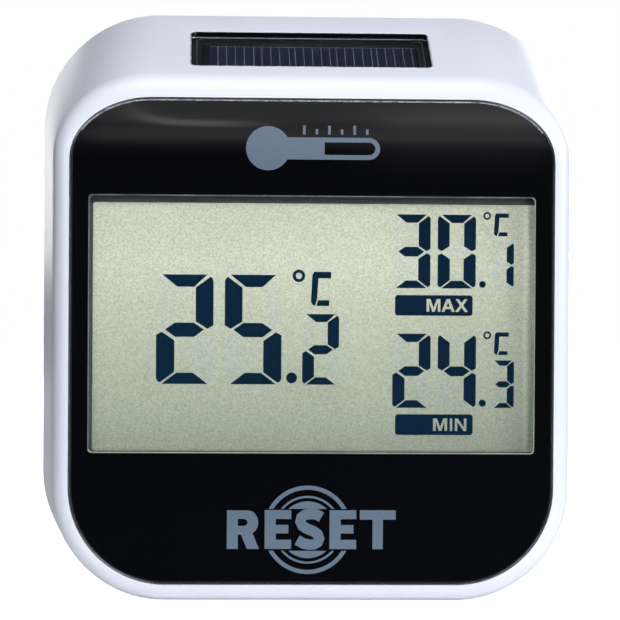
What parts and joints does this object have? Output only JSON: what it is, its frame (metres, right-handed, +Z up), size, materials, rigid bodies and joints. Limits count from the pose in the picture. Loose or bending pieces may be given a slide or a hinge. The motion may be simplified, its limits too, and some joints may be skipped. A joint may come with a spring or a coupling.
{
  "type": "maximum minimum thermometer",
  "caption": "Battery and solar powered digital thermometer with a wide LCD for the current, highest and lowest temperature, a solar window in a sloping top, and a keyhole hanger.",
  "frame": {"origin": "centre of the bottom of the bounding box, on the surface the thermometer stands on", "axes": "+Z up, -Y out of the display, +Y out of the back, +X to the viewer's right"},
  "size_m": [0.0918, 0.025, 0.0997],
  "materials": {
    "case_plastic": "satin white moulded plastic",
    "cover_plastic": "fine spark texture",
    "panel_black": "polished black",
    "clear_plastic": "clear polished",
    "display_glass": "grey-green reflective display",
    "reflector": "grained foil",
    "frame_plastic": "matt black",
    "rubber": "matt",
    "board": "green solder mask",
    "epoxy": "cured epoxy",
    "nickel": "nickel plated",
    "copper": "copper foil",
    "solar_blue": "dark silicon behind glass",
    "wire_red": "insulation",
    "wire_black": "insulation",
    "battery_wrap": "plain printed sleeve",
    "button_grey": "matt grey"
  },
  "bodies": {
    "case": {"front_housing": "case_plastic", "front_panel": "panel_black", "display_lens": "clear_plastic", "lcd_glass": "display_glass", "lcd_reflector": "reflector", "lcd_frame": "frame_plastic", "zebra_strip_lower": "rubber", "zebra_strip_upper": "rubber", "main_pcb": "board", "pcb_screw_1": "nickel", "pcb_screw_2": "nickel", "pcb_screw_3": "nickel", "pcb_screw_4": "nickel", "controller_blob": "epoxy", "storage_capacitor": "frame_plastic", "clock_crystal": "nickel", "thermistor": "epoxy", "touch_electrode": "copper", "touch_spring": "nickel", "tact_switch": "frame_plastic", "solar_window": "clear_plastic", "solar_frame": "frame_plastic", "solar_cell": "solar_blue", "solar_wire_red": "wire_red", "solar_wire_black": "wire_black", "rear_cover": "cover_plastic", "housing_gasket": "rubber", "cover_screw_1": "nickel", "cover_screw_2": "nickel", "cover_screw_3": "nickel", "cover_screw_4": "nickel", "battery_cell": "battery_wrap", "battery_spring": "nickel", "battery_contact_minus": "nickel", "battery_contact_plus": "nickel", "battery_wire_black": "wire_black", "battery_wire_red": "wire_red"},
    "door": {"battery_door": "cover_plastic"},
    "button": {"unit_button": "button_grey", "switch_plunger": "button_grey"}
  },
  "joints": [
    {"name": "door_hinge", "type": "hinge", "parent": "case", "child": "door", "pos_m": [0, 0.0125, 0.02985], "axis": [-1, 0, 0], "range_deg": [0, 80]},
    {"name": "button_press", "type": "slide", "parent": "case", "child": "button", "axis": [0, -1, 0], "range_m": [0, 0.0007], "stiffness_N_per_m": 1500}
  ]
}
